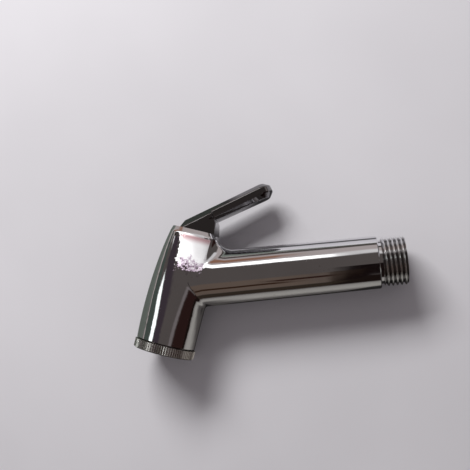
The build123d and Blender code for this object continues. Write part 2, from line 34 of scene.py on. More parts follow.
import bmesh
import bpy
import numpy as np
from bpy.props import FloatProperty, FloatVectorProperty, IntProperty, PointerProperty
from mathutils import Matrix, Vector

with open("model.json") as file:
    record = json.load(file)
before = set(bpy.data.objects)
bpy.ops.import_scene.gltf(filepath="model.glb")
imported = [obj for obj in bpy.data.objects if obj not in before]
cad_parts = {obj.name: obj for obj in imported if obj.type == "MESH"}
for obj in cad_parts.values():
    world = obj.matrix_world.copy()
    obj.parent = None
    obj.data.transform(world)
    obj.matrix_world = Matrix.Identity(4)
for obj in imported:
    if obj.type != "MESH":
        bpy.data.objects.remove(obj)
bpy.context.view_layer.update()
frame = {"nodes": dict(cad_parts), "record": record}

# The head's axis leans by this angle from the shared frame's Y and starts at this foot. The
# patterns of the head's upper sides, the ring and the spray plate follow it.
HEAD_LEAN = math.radians(19.1)
HEAD_FOOT = Vector((-0.1060, -0.02599, 0.0))

# A Mix node has two inputs and an output of its own for each kind of value.
MIX_SOCKETS = {"FLOAT": (2, 3, 0), "VECTOR": (4, 5, 1), "RGBA": (6, 7, 2)}


# Building blocks for node trees

def place(tree, kind, settings=None, inputs=None):
    """Adds a node, sets its properties, and fills or links its inputs."""
    made = tree.nodes.new(kind)
    for name, value in (settings or {}).items():
        setattr(made, name, value)
    for key, value in (inputs or {}).items():
        if isinstance(value, bpy.types.NodeSocket):
            tree.links.new(value, made.inputs[key])
        else:
            made.inputs[key].default_value = value
    return made


def math_node(tree, operation, *values, clamp=False):
    """One math node with its values or links in order."""
    made = place(tree, "ShaderNodeMath", {"operation": operation, "use_clamp": clamp},
                 dict(enumerate(values)))
    return made.outputs[0]


def smooth_range(tree, value, low, high, to_low=0.0, to_high=1.0):
    """Soft step of a value from low to high."""
    made = place(tree, "ShaderNodeMapRange", {"interpolation_type": "SMOOTHSTEP"},
                 {"Value": value, "From Min": low, "From Max": high,
                  "To Min": to_low, "To Max": to_high})
    return made.outputs["Result"]


def mixed(tree, kind, factor, first, second):
    """Mixes two numbers, vectors or colours by a factor."""
    first_socket, second_socket, result = MIX_SOCKETS[kind]
    made = place(tree, "ShaderNodeMix", {"data_type": kind},
                 {0: factor, first_socket: first, second_socket: second})
    return made.outputs[result]


def mix_colour(tree, factor, first, second):
    """Mixes two colours by a factor."""
    return mixed(tree, "RGBA", factor, first, second)


def opaque(tint, strength=1.0):
    """Colour for a node's socket, from a tint and its strength."""
    return (*[value * strength for value in tint], 1.0)


def noise(tree, vector, scale, detail=2.0, roughness=0.5):
    """Noise value at a scale per metre."""
    made = place(tree, "ShaderNodeTexNoise", None,
                 {"Vector": vector, "Scale": scale, "Detail": detail, "Roughness": roughness})
    return made.outputs["Fac"]


def object_place(tree):
    """Object coordinates, in the shared frame."""
    return place(tree, "ShaderNodeTexCoord").outputs["Object"]


def head_place(tree):
    """Object coordinates from the head's foot: X along, Y up the head's own axis, Z across."""
    moved = place(tree, "ShaderNodeVectorMath", {"operation": "SUBTRACT"},
                  {0: object_place(tree), 1: HEAD_FOOT})
    turned = place(tree, "ShaderNodeVectorRotate", {"rotation_type": "Z_AXIS"},
                   {"Vector": moved.outputs[0], "Angle": HEAD_LEAN})
    return turned.outputs[0]


def parts_of(tree, vector):
    """X, Y and Z of a vector, by name."""
    return place(tree, "ShaderNodeSeparateXYZ", None, {0: vector}).outputs


def from_axis(tree, vector, *across):
    """Distance from an axis, in the two named directions across it."""
    parts = parts_of(tree, vector)
    flat = place(tree, "ShaderNodeCombineXYZ", None, {name: parts[name] for name in across})
    length = place(tree, "ShaderNodeVectorMath", {"operation": "LENGTH"}, {0: flat.outputs[0]})
    return length.outputs["Value"]


def new_group(name, inputs, outputs):
    """Shader node group of numbers, with a vector for each input that has no default."""
    group = bpy.data.node_groups.new(name, "ShaderNodeTree")
    for label, default in inputs.items():
        kind = "NodeSocketVector" if default is None else "NodeSocketFloat"
        socket = group.interface.new_socket(label, in_out="INPUT", socket_type=kind)
        if default is not None:
            socket.default_value = default
    for label in outputs:
        group.interface.new_socket(label, in_out="OUTPUT", socket_type="NodeSocketFloat")
    entry = group.nodes.new("NodeGroupInput")
    leave = group.nodes.new("NodeGroupOutput")
    return group, entry, leave


# Materials

def plating_group():
    """Uneven haze, dried water spots, hairlines and the long waviness of a polished casting."""
    found = bpy.data.node_groups.get("plated_surface")
    if found:
        return found
    group, entry, leave = new_group(
        "plated_surface",
        {"Vector": None, "Haze Scale": 60.0, "Spot Scale": 420.0, "Drying Scale": 75.0,
         "Hairline Scale": 2600.0, "Wave Scale": 90.0},
        ("Haze", "Spots", "Hairlines", "Height"))
    size = entry.outputs
    vector = size["Vector"]
    haze = noise(group, vector, size["Haze Scale"], detail=4.0, roughness=0.6)
    cells = place(group, "ShaderNodeTexVoronoi", {"feature": "F1"},
                  {"Vector": vector, "Scale": size["Spot Scale"]})
    drops = smooth_range(group, cells.outputs["Distance"], 0.24, 0.12)
    drying = smooth_range(group, noise(group, vector, size["Drying Scale"]), 0.56, 0.66)
    stretched = place(group, "ShaderNodeMapping", None,
                      {"Vector": vector, "Scale": (0.08, 1.0, 1.0)})
    hairs = noise(group, stretched.outputs[0], size["Hairline Scale"], detail=3.0, roughness=0.7)
    marks = {"Haze": smooth_range(group, haze, 0.35, 0.72),
             "Spots": math_node(group, "MULTIPLY", drops, drying),
             "Hairlines": smooth_range(group, hairs, 0.55, 0.8),
             "Height": noise(group, vector, size["Wave Scale"], detail=1.0, roughness=0.4)}
    for label, value in marks.items():
        group.links.new(value, leave.inputs[label])
    return group


def new_material(name, settings):
    """Material with a Principled shader whose plain values are set on its own sockets."""
    made = bpy.data.materials.new(name)
    made.use_nodes = True
    tree = made.node_tree
    shader = tree.nodes["Principled BSDF"]
    for label, value in settings.items():
        shader.inputs[label].default_value = value
    return made, tree, shader


def bump(tree, shader, height, distance, strength=1.0):
    """Feeds a height into the shader's normal."""
    made = place(tree, "ShaderNodeBump", None,
                 {"Strength": strength, "Distance": distance, "Height": height})
    tree.links.new(made.outputs["Normal"], shader.inputs["Normal"])


def cover(tree, shader, mask, strength, tint):
    """Lays a tint over the shader's colour, by a mask and its greatest strength."""
    below = shader.inputs["Base Color"].links[0].from_socket
    factor = math_node(tree, "MULTIPLY", mask, strength)
    tree.links.new(mix_colour(tree, factor, below, opaque(tint)), shader.inputs["Base Color"])


def plated(name, tint, stain, roughness, haze, wave_height, wave_scale=90.0, vector=object_place):
    """Bright plating with haze, water spots, hairlines and a slightly wavy surface."""
    spot_roughness, spot_cover = 0.12, 0.6
    hairline_share, hazy_share = 0.5, 0.95
    made, tree, shader = new_material(name, {"Metallic": 1.0})
    marks = place(tree, "ShaderNodeGroup", {"node_tree": plating_group()},
                  {"Vector": vector(tree), "Wave Scale": wave_scale}).outputs
    dull = math_node(tree, "MULTIPLY", marks["Haze"], haze)
    dull = math_node(tree, "MULTIPLY_ADD", marks["Spots"], spot_roughness, dull)
    dull = math_node(tree, "MULTIPLY_ADD", marks["Hairlines"], hairline_share * haze, dull)
    dull = math_node(tree, "ADD", dull, roughness, clamp=True)
    tree.links.new(dull, shader.inputs["Roughness"])
    colour = mix_colour(tree, marks["Haze"], opaque(tint), opaque(tint, hazy_share))
    tree.links.new(colour, shader.inputs["Base Color"])
    cover(tree, shader, marks["Spots"], spot_cover, stain)
    bump(tree, shader, marks["Height"], wave_height)
    return made, tree, shader


def upper_side(tree, shader):
    """Turns the casting's normal on the nearly flat upper sides of its head, which face the
    window, and paints mottled lilac and pink reflections over their lower ends.

    Each pair is where an edge starts and ends, in metres along or up the head.
    """
    left_edge, right_edge = (0.0068, 0.0088), (0.0095, 0.0115)
    lower_edge, upper_edge = (0.0432, 0.0460), (0.0470, 0.0482)
    mottled_along, mottled_up, slant = 0.010, 0.022, 0.12
    turn = math.radians(22)
    painted_lilac_reflection, lilac_reflection_top = (0.17, 0.06, 0.16), (0.0500, 0.0440)
    painted_pink_reflection, pink_reflection_foot = (0.42, 0.24, 0.26), (0.0440, 0.0470)
    strength = 0.9
    spot = parts_of(tree, head_place(tree))
    facing = place(tree, "ShaderNodeNewGeometry").outputs["Normal"]
    side = parts_of(tree, facing)["Z"]
    mottle = noise(tree, object_place(tree), 420.0, detail=5.0, roughness=0.72)
    along = math_node(tree, "MULTIPLY_ADD", mottle, mottled_along, spot["X"])
    along = math_node(tree, "MULTIPLY_ADD", spot["Y"], slant, along)
    height = math_node(tree, "MULTIPLY_ADD", mottle, mottled_up, spot["Y"])
    mask = smooth_range(tree, math_node(tree, "ABSOLUTE", side), 0.4, 0.6)
    for value, edge, beyond in ((along, left_edge, 1.0), (spot["X"], right_edge, 0.0),
                                (height, lower_edge, 1.0), (spot["Y"], upper_edge, 0.0)):
        within = smooth_range(tree, value, *edge, 1.0 - beyond, beyond)
        mask = math_node(tree, "MULTIPLY", mask, within)
    sign = math_node(tree, "SIGN", side)
    flat = place(tree, "ShaderNodeCombineXYZ", None,
                 {"X": math.sin(turn) * math.sin(HEAD_LEAN),
                  "Y": math.sin(turn) * math.cos(HEAD_LEAN),
                  "Z": math_node(tree, "MULTIPLY", sign, math.cos(turn))})
    turned = mixed(tree, "VECTOR", mask, facing, flat.outputs[0])
    unit = place(tree, "ShaderNodeVectorMath", {"operation": "NORMALIZE"}, {0: turned})
    waves = shader.inputs["Normal"].links[0].from_node
    tree.links.new(unit.outputs[0], waves.inputs["Normal"])
    # Painted reflections: lilac and pink tints laid over the window-facing sides.
    for value, edge, tint in ((height, lilac_reflection_top, painted_lilac_reflection), (spot["Y"], pink_reflection_foot, painted_pink_reflection)):
        banded = math_node(tree, "MULTIPLY", mask, smooth_range(tree, value, *edge))
        cover(tree, shader, banded, strength, tint)


# Sizes and colours that a user may change

def tint_choice(name, description, default):
    """Colour in the panel."""
    return FloatVectorProperty(name=name, description=description, size=3, subtype="COLOR",
                               min=0.0, max=1.0, default=default)


def share_choice(name, description, default):
    """Share of one in the panel."""
    return FloatProperty(name=name, description=description, subtype="FACTOR",
                         min=0.0, max=1.0, default=default)


def length_choice(name, description, default):
    """Length in metres in the panel."""
    return FloatProperty(name=name, description=description, unit="LENGTH",
                         min=0.0, default=default)


class HandsetPlating(bpy.types.PropertyGroup):
    """Finish of the bright plated pieces."""

    tint: tint_choice("Plating", "Colour of the bright plating", (0.80, 0.80, 0.82))
    stain: tint_choice("Dried water", "Colour of the dried water spots", (0.66, 0.65, 0.62))
    roughness: share_choice("Roughness", "Roughness of clean plating", 0.045)
    haze: share_choice("Haze", "Roughness that hazy areas add", 0.05)
    wave: length_choice("Waviness", "Height of the polished casting's waves", 0.00006)
    # The lever's plating is a darker copy of the casting's plating: painted shade for the dark room
    # that the lever's sides mirror.
    lever: tint_choice("Lever", "Colour of the lever's plating", (0.22, 0.215, 0.22))
    edge: length_choice("Edge width", "Width of the lever's rounded edges", 0.0003)
    crease: FloatProperty(name="Crease angle", description="Edges sharper than this stay crisp",
                          default=math.radians(28), subtype="ANGLE")


class HandsetThread(bpy.types.PropertyGroup):
    """Inlet thread."""

    crest: length_choice("Crest radius", "Outer radius of the thread", 0.0104775)
    depth: length_choice("Depth", "Height from root to crest", 0.001162)
    pitch: length_choice("Pitch", "Distance from crest to crest", 0.001814)
    length: length_choice("Length", "Threaded length from the inlet's end", 0.0100)
    face: length_choice("End face", "Outer radius of the inlet's end face", 0.0098775)
    neck: length_choice("Neck", "Radius of the undercut behind the thread", 0.0092775)
    around: IntProperty(name="Steps around", description="Mesh steps around the thread",
                        default=144, min=24)
    per_turn: IntProperty(name="Steps per turn", description="Mesh steps along one pitch",
                          default=14, min=6)
    # The thread's crests take a brighter copy of the plating than the casting does: a painted
    # highlight.
    tint: tint_choice("Thread", "Colour of the thread's crests", (0.95, 0.95, 0.96))
    wear: share_choice("Wear", "Roughness that the worn thread adds", 0.12)


class HandsetTrim(bpy.types.PropertyGroup):
    """Finish of the ring, the steel, brass, rubber and plastic pieces."""

    ring: tint_choice("Ring", "Colour of the knurled ring", (0.92, 0.88, 0.85))
    ring_roughness: share_choice("Ring roughness", "Roughness of the knurled ring", 0.22)
    steel: tint_choice("Steel", "Colour of the stainless pieces", (0.63, 0.62, 0.60))
    brass: tint_choice("Brass", "Colour of the bare brass pieces", (0.83, 0.62, 0.28))
    rubber: tint_choice("Rubber", "Colour of the seals", (0.018, 0.018, 0.019))
    plastic: tint_choice("Plastic", "Colour of the moulded pieces", (0.78, 0.77, 0.73))


class HandsetStudio(bpy.types.PropertyGroup):
    """Floor, lamp and camera."""

    paper: tint_choice("Paper", "Colour of the floor", (0.69, 0.675, 0.70))
    lamp: FloatProperty(name="Key lamp", description="Power of the key lamp in watts",
                        default=7.8, min=0.0)
    floor_size: length_choice("Floor size", "Width of the square floor", 4.0)
    camera: FloatVectorProperty(name="Camera", description="Place of the camera", size=3,
                                subtype="TRANSLATION", default=(-0.0282, -0.0240, 0.3013))
    camera_turn: FloatVectorProperty(name="Camera turn", description="Camera's rotation", size=3,
                                     subtype="EULER", default=(0.1243, 0.1541, -0.0867))
    lens: FloatProperty(name="Lens", description="Focal length in millimetres",
                        default=53.62, min=1.0)


# Pieces

def nodes_of(slot):
    """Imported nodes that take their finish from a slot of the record."""
    return [row["node"] for row in frame["record"]["subparts"] if row["material_slot"] == slot]


def give(node, material):
    """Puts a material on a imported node's object."""
    for slot in frame["nodes"][node].material_slots:
        slot.material = material


def added(name, data):
    """New object with this data, in the scene."""
    made = bpy.data.objects.new(name, data)
    bpy.context.scene.collection.objects.link(made)
    return made


def copied(node, name, crease, keep=None):
    """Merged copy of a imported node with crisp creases, and only the faces that keep() accepts."""
    mesh = bmesh.new()
    mesh.from_mesh(frame["nodes"][node].data)
    bmesh.ops.remove_doubles(mesh, verts=mesh.verts, dist=1e-7)
    if keep:
        unwanted = [face for face in mesh.faces if not keep(face)]
        bmesh.ops.delete(mesh, geom=unwanted, context="FACES")
    for face in mesh.faces:
        face.smooth = True
    for edge in mesh.edges:
        edge.smooth = len(edge.link_faces) == 2 and edge.calc_face_angle(0.0) < crease
    data = bpy.data.meshes.new(name)
    mesh.to_mesh(data)
    mesh.free()
    return added(name, data)


def corner_places(part):
    """Places of the corners of a bmesh corner, edge or face, in a fixed order."""
    return sorted(tuple(corner.co) for corner in getattr(part, "verts", [part]))


def softened(piece, crease, width):
    """Rounds a piece's crisp edges a little, so that they catch the light as thin lines.

    A bevel adds its parts in any order, so they are sorted by place at the end.
    """
    same_plane = math.radians(0.8)
    mesh = bmesh.new()
    mesh.from_mesh(piece.data)
    bmesh.ops.dissolve_limit(mesh, angle_limit=same_plane, verts=mesh.verts, edges=mesh.edges)
    crisp = [edge for edge in mesh.edges
             if len(edge.link_faces) == 2 and edge.calc_face_angle(0.0) > crease]
    rounded = bmesh.ops.bevel(mesh, geom=crisp, offset=width, offset_type="OFFSET", segments=2,
                              profile=0.5, affect="EDGES", clamp_overlap=False)
    strips = set(rounded["faces"])
    for face in mesh.faces:
        face.smooth = True
    for edge in mesh.edges:
        sides = [face in strips for face in edge.link_faces]
        within = len(sides) == 2 and sides[0] == sides[1]
        edge.smooth = within and edge.calc_face_angle(0.0) < crease
    bmesh.ops.triangulate(mesh, faces=mesh.faces)
    for parts in (mesh.verts, mesh.edges, mesh.faces):
        for index, part in enumerate(sorted(parts, key=corner_places)):
            part.index = index
        parts.sort()
    mesh.to_mesh(piece.data)
    mesh.free()


class HANDSET_OT_body(bpy.types.Operator):
    """Bright casting, with its plain inlet left open for the thread"""

    bl_idname = "handset.body"
    bl_label = "Casting"

    def execute(self, context):
        plating = context.scene.handset_plating
        thread = context.scene.handset_thread
        margin = 0.00001

        def outside_thread(face):
            middle = face.calc_center_median()
            radius = math.hypot(middle.y, middle.z)
            end_face = all(abs(v.co.x) < margin for v in face.verts)
            behind = middle.x < -thread.length - margin
            return end_face or behind or radius < thread.neck + margin

        shell = copied("body", "casting", plating.crease, outside_thread)
        made, tree, shader = plated("casting_plating", plating.tint, plating.stain,
                                    plating.roughness, plating.haze, plating.wave)
        upper_side(tree, shader)
        shell.data.materials.append(made)
        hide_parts("body")
        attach(shell, "handset")
        return {"FINISHED"}


class HANDSET_OT_lever(bpy.types.Operator):
    """Bright trigger lever with softened edges"""

    bl_idname = "handset.lever"
    bl_label = "Lever"

    def execute(self, context):
        plating = context.scene.handset_plating
        # The lever takes the darker plating: painted shade.
        made, _, _ = plated("lever_plating_painted_dark", plating.lever, plating.stain, plating.roughness,
                            plating.haze, 0.5 * plating.wave)
        trigger = copied("lever", "trigger", plating.crease)
        softened(trigger, plating.crease, plating.edge)
        trigger.data.materials.append(made)
        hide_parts("lever")
        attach(trigger, "trigger")
        return {"FINISHED"}


def thread_tree(material, sizes):
    """Node tree that winds a rounded pipe thread around the X axis, from a flat grid."""
    full_turn = 2 * math.pi
    first_row, runout_slope, same_corner = 0.0001, 2.0, 0.000001
    tree = bpy.data.node_groups.new("pipe_thread", "GeometryNodeTree")
    for label, value in sizes.items():
        kind = "NodeSocketInt" if isinstance(value, int) else "NodeSocketFloat"
        tree.interface.new_socket(label, in_out="INPUT", socket_type=kind).default_value = value
    tree.interface.new_socket("Geometry", in_out="OUTPUT", socket_type="NodeSocketGeometry")
    entry = tree.nodes.new("NodeGroupInput")
    leave = tree.nodes.new("NodeGroupOutput")
    size = entry.outputs
    grid = place(tree, "GeometryNodeMeshGrid", None,
                 {"Size X": 1.0, "Size Y": 1.0, "Vertices X": size["Steps Along"],
                  "Vertices Y": size["Steps Around"]})
    spot = parts_of(tree, place(tree, "GeometryNodeInputPosition").outputs[0])
    share = math_node(tree, "ADD", spot["X"], 0.5)
    turn = math_node(tree, "ADD", spot["Y"], 0.5)
    angle = math_node(tree, "MULTIPLY", turn, full_turn)
    inward = math_node(tree, "MULTIPLY", share, size["Length"])
    turns = math_node(tree, "DIVIDE", inward, size["Pitch"])
    phase = math_node(tree, "MULTIPLY", math_node(tree, "ADD", turns, turn), full_turn)
    valley = math_node(tree, "MULTIPLY_ADD", math_node(tree, "COSINE", phase), -0.5, 0.5)
    cut = math_node(tree, "MULTIPLY", valley, size["Depth"])
    wavy = math_node(tree, "SUBTRACT", size["Crest Radius"], cut)
    chamfer = math_node(tree, "ADD", size["End Face"], inward)
    left = math_node(tree, "SUBTRACT", size["Length"], inward)
    runout = math_node(tree, "MULTIPLY_ADD", left, runout_slope, size["Neck"])
    radius = math_node(tree, "MINIMUM", math_node(tree, "MINIMUM", wavy, chamfer), runout)
    first = math_node(tree, "LESS_THAN", share, first_row)
    radius = mixed(tree, "FLOAT", first, radius, size["End Face"])
    wound = place(tree, "ShaderNodeCombineXYZ", None,
                  {"X": math_node(tree, "MULTIPLY", inward, -1.0),
                   "Y": math_node(tree, "MULTIPLY", radius, math_node(tree, "COSINE", angle)),
                   "Z": math_node(tree, "MULTIPLY", radius, math_node(tree, "SINE", angle))})
    bent = place(tree, "GeometryNodeSetPosition", None,
                 {"Geometry": grid.outputs["Mesh"], "Position": wound.outputs[0]})
    closed = place(tree, "GeometryNodeMergeByDistance", None,
                   {"Geometry": bent.outputs[0], "Distance": same_corner})
    smooth = place(tree, "GeometryNodeSetShadeSmooth", None, {"Geometry": closed.outputs[0]})
    real = place(tree, "GeometryNodeRealizeInstances", None, {"Geometry": smooth.outputs[0]})
    last = place(tree, "GeometryNodeSetMaterial", None,
                 {"Geometry": real.outputs[0], "Material": material})
    tree.links.new(last.outputs[0], leave.inputs[0])
    return tree


def grown(name, tree, values):
    """Plain mesh object from a node tree, with its named inputs set."""
    host = added(name + "_host", bpy.data.meshes.new(name + "_host"))
    modifier = host.modifiers.new(name, "NODES")
    modifier.node_group = tree
    for item in tree.interface.items_tree:
        if item.in_out == "INPUT" and item.name in values:
            modifier[item.identifier] = values[item.name]
    bpy.context.view_layer.update()
    graph = bpy.context.evaluated_depsgraph_get()
    data = bpy.data.meshes.new_from_object(host.evaluated_get(graph))
    bpy.data.objects.remove(host)
    data.name = name
    return added(name, data)


def outward(piece):
    """Turns a mesh's faces to point outwards from the X axis."""
    mesh = bmesh.new()
    mesh.from_mesh(piece.data)
    inner = sum(1 for f in mesh.faces if f.normal.yz.dot(f.calc_center_median().yz) < 0)
    if inner > len(mesh.faces) / 2:
        bmesh.ops.reverse_faces(mesh, faces=mesh.faces)
    mesh.to_mesh(piece.data)
    mesh.free()


class HANDSET_OT_thread(bpy.types.Operator):
    """Pipe thread of the inlet, wound by a node tree"""

    bl_idname = "handset.thread"
    bl_label = "Inlet thread"

    def execute(self, context):
        plating = context.scene.handset_plating
        thread = context.scene.handset_thread
        painted_root_shade, shaded_depth_share, root_shade_strength = (0.14, 0.13, 0.13), 0.35, 0.85
        made, tree, shader = plated("thread_plating", thread.tint, plating.stain,
                                    plating.roughness + thread.wear, plating.haze,
                                    0.3 * plating.wave)
        # Darkens the thread towards its roots: painted shade in the grooves.
        radius = from_axis(tree, object_place(tree), "Y", "Z")
        root = smooth_range(tree, radius, thread.crest - thread.depth,
                            thread.crest - shaded_depth_share * thread.depth, 1.0, 0.0)
        cover(tree, shader, root, root_shade_strength, painted_root_shade)
        rows = int(thread.length / thread.pitch * thread.per_turn) + 1
        sizes = {"Crest Radius": thread.crest, "Depth": thread.depth, "Pitch": thread.pitch,
                 "Length": thread.length, "End Face": thread.face, "Neck": thread.neck,
                 "Steps Around": thread.around, "Steps Along": rows}
        piece = grown("inlet_thread", thread_tree(made, sizes), sizes)
        outward(piece)
        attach(piece, "handset")
        return {"FINISHED"}


class HANDSET_OT_ring(bpy.types.Operator):
    """Duller knurled ring with painted shade between its teeth"""

    bl_idname = "handset.ring"
    bl_label = "Knurled ring"

    def execute(self, context):
        plating = context.scene.handset_plating
        trim = context.scene.handset_trim
        tooth_root, tooth_middle = 0.01305, 0.01332
        made, tree, shader = plated("ring_plating", trim.ring, plating.stain, trim.ring_roughness,
                                    2 * plating.haze, plating.wave, 200.0, head_place)
        radius = from_axis(tree, head_place(tree), "X", "Z")
        # Darkens the knurl's valleys: painted shade between the teeth.
        valley = smooth_range(tree, radius, tooth_root, tooth_middle, 1.0, 0.0)
        cover(tree, shader, valley, 0.75, (0.16, 0.14, 0.13))
        give("face_ring", made)
        return {"FINISHED"}


class HANDSET_OT_steel(bpy.types.Operator):
    """Stainless spray plate, pin and spring"""

    bl_idname = "handset.steel"
    bl_label = "Stainless pieces"

    def execute(self, context):
        trim = context.scene.handset_trim
        plating = context.scene.handset_plating
        drawn_roughness, turned_roughness = 0.2, 0.16
        ring_scale, ring_height = 9000.0, 0.000004
        made, _, _ = plated("drawn_steel", trim.steel, plating.stain, drawn_roughness,
                            plating.haze, plating.wave)
        for node in ("lever_pin", "return_spring"):
            give(node, made)
        made, tree, shader = plated("turned_steel", trim.steel, plating.stain, turned_roughness,
                                    plating.haze, plating.wave, 200.0, head_place)
        radius = from_axis(tree, head_place(tree), "X", "Z")
        row = place(tree, "ShaderNodeCombineXYZ", None, {"X": radius})
        bump(tree, shader, noise(tree, row.outputs[0], ring_scale), ring_height)
        give("spray_plate", made)
        return {"FINISHED"}


class HANDSET_OT_brass(bpy.types.Operator):
    """Bare brass valve pieces, lightly tarnished"""

    bl_idname = "handset.brass"
    bl_label = "Brass valve"

    def execute(self, context):
        trim = context.scene.handset_trim
        plating = context.scene.handset_plating
        made, tree, shader = plated("bare_brass", trim.brass, plating.stain, 0.22,
                                    2 * plating.haze, plating.wave)
        patches = noise(tree, object_place(tree), 500.0, detail=5.0)
        tarnish = smooth_range(tree, patches, 0.45, 0.75)
        cover(tree, shader, tarnish, 0.5, (0.42, 0.27, 0.12))
        for node in nodes_of("brass"):
            give(node, made)
        return {"FINISHED"}


class HANDSET_OT_seals(bpy.types.Operator):
    """Rubber seals and moulded plastic pieces"""

    bl_idname = "handset.seals"
    bl_label = "Seals and mouldings"

    def execute(self, context):
        trim = context.scene.handset_trim
        cloud_scale, cloudy_share = 160.0, 0.86
        smoother, rougher = 0.08, 0.1
        for slot, tint, roughness, grain_scale in (("rubber", trim.rubber, 0.55, 3000.0),
                                                   ("white_plastic", trim.plastic, 0.38, 1400.0)):
            made, tree, shader = new_material("moulded_" + slot, {"Metallic": 0.0, "IOR": 1.5})
            grain = noise(tree, object_place(tree), grain_scale, detail=3.0)
            cloud = smooth_range(tree, noise(tree, object_place(tree), cloud_scale), 0.35, 0.7)
            colour = mix_colour(tree, cloud, opaque(tint), opaque(tint, cloudy_share))
            tree.links.new(colour, shader.inputs["Base Color"])
            dull = smooth_range(tree, grain, 0.2, 0.8, roughness - smoother, roughness + rougher)
            tree.links.new(dull, shader.inputs["Roughness"])
            bump(tree, shader, grain, 0.00001)
            for node in nodes_of(slot):
                give(node, made)
        return {"FINISHED"}


# Studio

def corners_of(piece):
    """Places of a mesh object's corners."""
    return np.array([v.co for v in piece.data.vertices], float)


def resting_plane():
    """Plane that the handset lies on: the hull's face below its middle, as (point, normal)."""
    steepest = -0.9
    corners = np.concatenate([corners_of(piece) for piece in frame["nodes"].values()])
    body = frame["nodes"]["body"]
    triangles = corners_of(body)[np.array([p.vertices[:] for p in body.data.polygons])]
    a, b, c = (triangles[:, i] for i in range(3))
    volumes = np.einsum("ij,ij->i", a, np.cross(b, c))
    middle = Vector(((a + b + c) * volumes[:, None]).sum(0) / (4 * volumes.sum()))
    hull = bmesh.new()
    for corner in np.unique(np.round(corners, 6), axis=0):
        hull.verts.new(corner)
    bmesh.ops.convex_hull(hull, input=hull.verts)
    hull.normal_update()
    best = None
    for face in hull.faces:
        if face.normal.z > steepest or len(face.verts) != 3:
            continue
        p, q, r = (Vector(v.co) for v in face.verts)
        foot = middle + face.normal * (p - middle).dot(face.normal)
        turns = [(t - s).cross(foot - s).dot(face.normal) for s, t in ((p, q), (q, r), (r, p))]
        if min(turns) >= 0:
            best = (foot, -face.normal.copy())
    hull.free()
    return best


def mirrored_paper(tree, tone):
    """Paper as the plating mirrors it, with painted reflections: greener to the head's left, greyer
    below the handle, and a painted shadow where the handset nearly touches it.

    Each pair is where an edge starts and ends, in metres.
    """
    painted_grey_reflection, below_handle = (0.42, 0.41, 0.375), (-0.004, -0.016)
    painted_green_reflection, left_of_head = (0.13, 0.15, 0.13), (-0.0130, -0.0170)
    shade, shade_strength = (0.03, 0.03, 0.03), 0.85
    upper_middle, upper_edge = 0.034, (0.0085, 0.0050)
    bend, bend_rise = (-0.030, -0.008), 0.014
    low_start, low_end = (-0.0215, -0.0175), (0.004, 0.0)
    handle_start, head_side, head_start = (-0.085, -0.075), (0.0168, 0.0150), (-0.080, -0.090)
    spot = parts_of(tree, object_place(tree))
    along = parts_of(tree, head_place(tree))["X"]
    # Painted reflections, seen only in the plating.
    seen = mix_colour(tree, smooth_range(tree, spot["Y"], *below_handle), tone, opaque(painted_grey_reflection))
    seen = mix_colour(tree, smooth_range(tree, along, *left_of_head), seen, opaque(painted_green_reflection))
    off_middle = math_node(tree, "SUBTRACT", spot["Y"], upper_middle)
    upper = smooth_range(tree, math_node(tree, "ABSOLUTE", off_middle), *upper_edge)
    bent = math_node(tree, "MULTIPLY_ADD", smooth_range(tree, spot["X"], *bend), bend_rise,
                     spot["Y"])
    low = math_node(tree, "MULTIPLY", smooth_range(tree, bent, *low_start),
                    smooth_range(tree, spot["Y"], *low_end))
    handle = math_node(tree, "MULTIPLY", math_node(tree, "MAXIMUM", upper, low),
                       smooth_range(tree, spot["X"], *handle_start))
    head = math_node(tree, "MULTIPLY",
                     smooth_range(tree, math_node(tree, "ABSOLUTE", along), *head_side),
                     smooth_range(tree, spot["X"], *head_start))
    # Painted shadow on the mirrored paper where the handset nearly touches it.
    near = math_node(tree, "MULTIPLY", math_node(tree, "MAXIMUM", handle, head), shade_strength)
    seen = mix_colour(tree, near, seen, opaque(shade))
    mirrored = place(tree, "ShaderNodeLightPath").outputs["Is Glossy Ray"]
    return mix_colour(tree, mirrored, tone, seen)


def paper_material(colour):
    """Pale matt paper with a faint cloudiness and fibre."""
    cloud_scale, cloudy_share = 9.0, 0.94
    fibre_scale, fibre_height, fibre_strength = 1800.0, 0.00002, 0.4
    made, tree, shader = new_material("pale_paper", {"Roughness": 0.85, "Specular IOR Level": 0.3})
    cloud = noise(tree, object_place(tree), cloud_scale, detail=3.0)
    tone = mix_colour(tree, smooth_range(tree, cloud, 0.3, 0.7), opaque(colour),
                      opaque(colour, cloudy_share))
    # The plating sees painted reflections and a painted shadow on the paper.
    tree.links.new(mirrored_paper(tree, tone), shader.inputs["Base Color"])
    fibre = noise(tree, object_place(tree), fibre_scale, detail=3.0)
    bump(tree, shader, fibre, fibre_height, fibre_strength)
    return made


def soft_patch_group():
    """Mask of a soft-edged rectangle in two angles."""
    labels = ("Up", "Along", "Up Low", "Up High", "Along Low", "Along High", "Softness")
    group, entry, leave = new_group("soft_patch", dict.fromkeys(labels, 0.0), ("Mask",))
    size = entry.outputs
    sides = []
    for angle in ("Up", "Along"):
        for edge, sign in ((" Low", 1.0), (" High", -1.0)):
            beyond = math_node(group, "SUBTRACT", size[angle], size[angle + edge])
            beyond = math_node(group, "MULTIPLY", beyond, sign)
            beyond = math_node(group, "DIVIDE", beyond, size["Softness"])
            sides.append(smooth_range(group, beyond, -0.5, 0.5))
    mask = sides[0]
    for side in sides[1:]:
        mask = math_node(group, "MULTIPLY", mask, side)
    group.links.new(mask, leave.inputs["Mask"])
    return group


